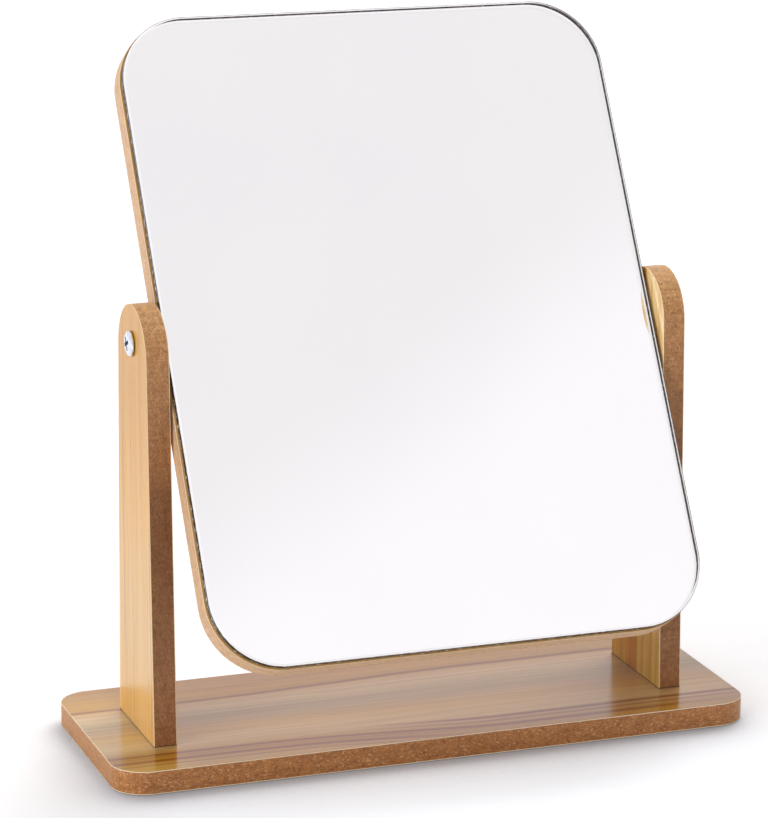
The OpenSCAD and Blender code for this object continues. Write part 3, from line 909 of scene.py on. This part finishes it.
def softLamp(name, look):
    # a very wide sun from one side. Its strength of pi times the level lights a white card that faces it to
    # that level.
    light = bpy.data.lights.new(name, "SUN")
    light.energy = math.pi * look["level"]
    light.angle = math.radians(look["spread"])
    lamp = bpy.data.objects.new(name, light)
    lamp.rotation_euler = Vector(look["from"]).to_track_quat("Z", "Y").to_euler()
    # polished faces show the pale room alone, without the lamp's glare
    lamp.visible_glossy = False
    bpy.context.scene.collection.objects.link(lamp)


def seenDirectly(tree):
    # 1 for what the lens, a polished surface or the glass looks at, 0 for the light that falls on things
    path = addNode(tree, "LightPath")
    first = addNode(tree, "Math", {
        0: path.outputs["Is Camera Ray"], 1: path.outputs["Is Glossy Ray"]}, operation="MAXIMUM")
    return addNode(tree, "Math", {
        0: first.outputs[0], 1: path.outputs["Is Transmission Ray"]}, operation="MAXIMUM")


def makeRoom():
    # even light on everything, and pale walls for whatever looks at the room
    world = bpy.data.worlds.new("paleRoom")
    bpy.context.scene.world = world
    world.use_nodes = True
    tree = world.node_tree
    tree.nodes.clear()
    seen = seenDirectly(tree)
    light = addNode(tree, "Background", {"Color": (1, 1, 1, 1), "Strength": studio["room"]})
    # white walls that turn a little greyer towards the ceiling
    place = addNode(tree, "TexCoord")
    axes = addNode(tree, "SeparateXYZ", {"Vector": place.outputs["Generated"]})
    slant = addNode(tree, "Math", {
        0: axes.outputs["X"], 1: studio["mirrorSide"], 2: axes.outputs["Z"]}, operation="MULTIPLY_ADD")
    ceiling = addNode(tree, "MapRange", {
        "Value": slant.outputs[0], "From Min": studio["mirrorLow"], "From Max": studio["mirrorHigh"]},
        interpolation_type="SMOOTHSTEP")
    colour = addNode(tree, "Mix", {
        "Factor": ceiling.outputs[0], "A": hexColour(studio["mirrorWhite"]),
        "B": hexColour(studio["mirrorGrey"])}, data_type="RGBA")
    backdrop = addNode(tree, "Background", {"Color": colour.outputs["Result"], "Strength": 1.0})
    mixed = addNode(tree, "MixShader", {
        0: seen.outputs[0], 1: light.outputs[0], 2: backdrop.outputs[0]})
    addNode(tree, "OutputWorld", {"Surface": mixed.outputs[0]})


def makeFloor():
    # one large square just under the base, of matt paint that glows a little for the lens but not in a shadow
    half, level = studio["floorHalf"], -studio["floorGap"] * mm
    mesh = bpy.data.meshes.new("floor")
    corners = [(x * half, y * half, level) for x, y in ((-1, -1), (1, -1), (1, 1), (-1, 1))]
    mesh.from_pydata(corners, [], [(0, 1, 2, 3)])
    material, tree = startMaterial("palePaintedFloor")
    seen = seenDirectly(tree)
    contact = studio["contact"]
    towards = addNode(tree, "VectorMath", {0: contact["from"]}, operation="NORMALIZE")
    near = addNode(tree, "AmbientOcclusion", {
        "Distance": contact["reach"], "Normal": towards.outputs[0]}, samples=12)
    shaded = addNode(tree, "Mix", {
        "Factor": near.outputs["AO"], "A": hexColour(contact["tone"]), "B": hexColour(studio["floorColour"])},
        data_type="RGBA")
    paper = addNode(tree, "BsdfDiffuse", {"Color": shaded.outputs["Result"]})
    lift = addNode(tree, "Math", {0: seen.outputs[0], 1: studio["floorLift"]}, operation="MULTIPLY")
    lit = addNode(tree, "Math", {0: lift.outputs[0], 1: near.outputs["AO"]}, operation="MULTIPLY")
    glow = addNode(tree, "Emission", {"Strength": lit.outputs[0]})
    pale = addNode(tree, "AddShader", {0: paper.outputs[0], 1: glow.outputs[0]})
    # open from below, and open to light on its way to the base's underside close above it, so that the
    # underside can be looked at
    side = addNode(tree, "NewGeometry")
    path = addNode(tree, "LightPath")
    close = addNode(tree, "Math", {
        0: path.outputs["Ray Length"], 1: studio["floorOpens"] * mm}, operation="LESS_THAN")
    opened = addNode(tree, "Math", {
        0: side.outputs["Backfacing"], 1: close.outputs[0]}, operation="MAXIMUM")
    clear = addNode(tree, "BsdfTransparent")
    oneSided = addNode(tree, "MixShader", {
        0: opened.outputs[0], 1: pale.outputs[0], 2: clear.outputs[0]})
    finishMaterial(tree, oneSided)
    mesh.materials.append(material)
    floor = bpy.data.objects.new("floor", mesh)
    bpy.context.scene.collection.objects.link(floor)


softLamp("window", studio["window"])
softLamp("back", studio["back"])
makeRoom()
makeFloor()
print("room made")

# angles in degrees, places and distances in metres, the sensor's width in millimetres, and the focal length,
# the optical middle and the picture's size in pixels
viewpoint = {
    "azimuth": -20.241, "elevation": 15.280, "roll": 0.428, "distance": 1.35494, "target": (0.0, 0.0, 0.110),
    "focal": 3546.86, "middle": (404.70, 447.15), "picture": (768, 818), "sensor": 36.0, "clip": (0.05, 60.0),
}


def makeCamera():
    # the back vector from the two angles, the right and up vectors square to it, then both turned by the roll
    azimuth, elevation, roll = (math.radians(viewpoint[key]) for key in ("azimuth", "elevation", "roll"))
    back = Vector((math.sin(azimuth) * math.cos(elevation), -math.cos(azimuth) * math.cos(elevation),
                   math.sin(elevation)))
    sideways = Vector((0, 0, 1)).cross(back).normalized()
    upright = back.cross(sideways)
    turnedSide = sideways * math.cos(roll) + upright * math.sin(roll)
    turnedUp = upright * math.cos(roll) - sideways * math.sin(roll)
    spot = Vector(viewpoint["target"]) + back * viewpoint["distance"]
    width, height = viewpoint["picture"]
    longer = max(width, height)
    lens = bpy.data.cameras.new("camera")
    lens.sensor_width = viewpoint["sensor"]
    lens.lens = viewpoint["focal"] * viewpoint["sensor"] / longer
    lens.shift_x = (width / 2 - viewpoint["middle"][0]) / longer
    lens.shift_y = (viewpoint["middle"][1] - height / 2) / longer
    lens.clip_start, lens.clip_end = viewpoint["clip"]
    camera = bpy.data.objects.new("camera", lens)
    place = Matrix((turnedSide, turnedUp, back)).transposed().to_4x4()
    place.translation = spot
    camera.matrix_world = place
    bpy.context.scene.collection.objects.link(camera)
    bpy.context.scene.camera = camera


makeCamera()
bpy.context.scene.view_settings.view_transform = "Standard"
bpy.context.view_layer.update()
print("camera placed")
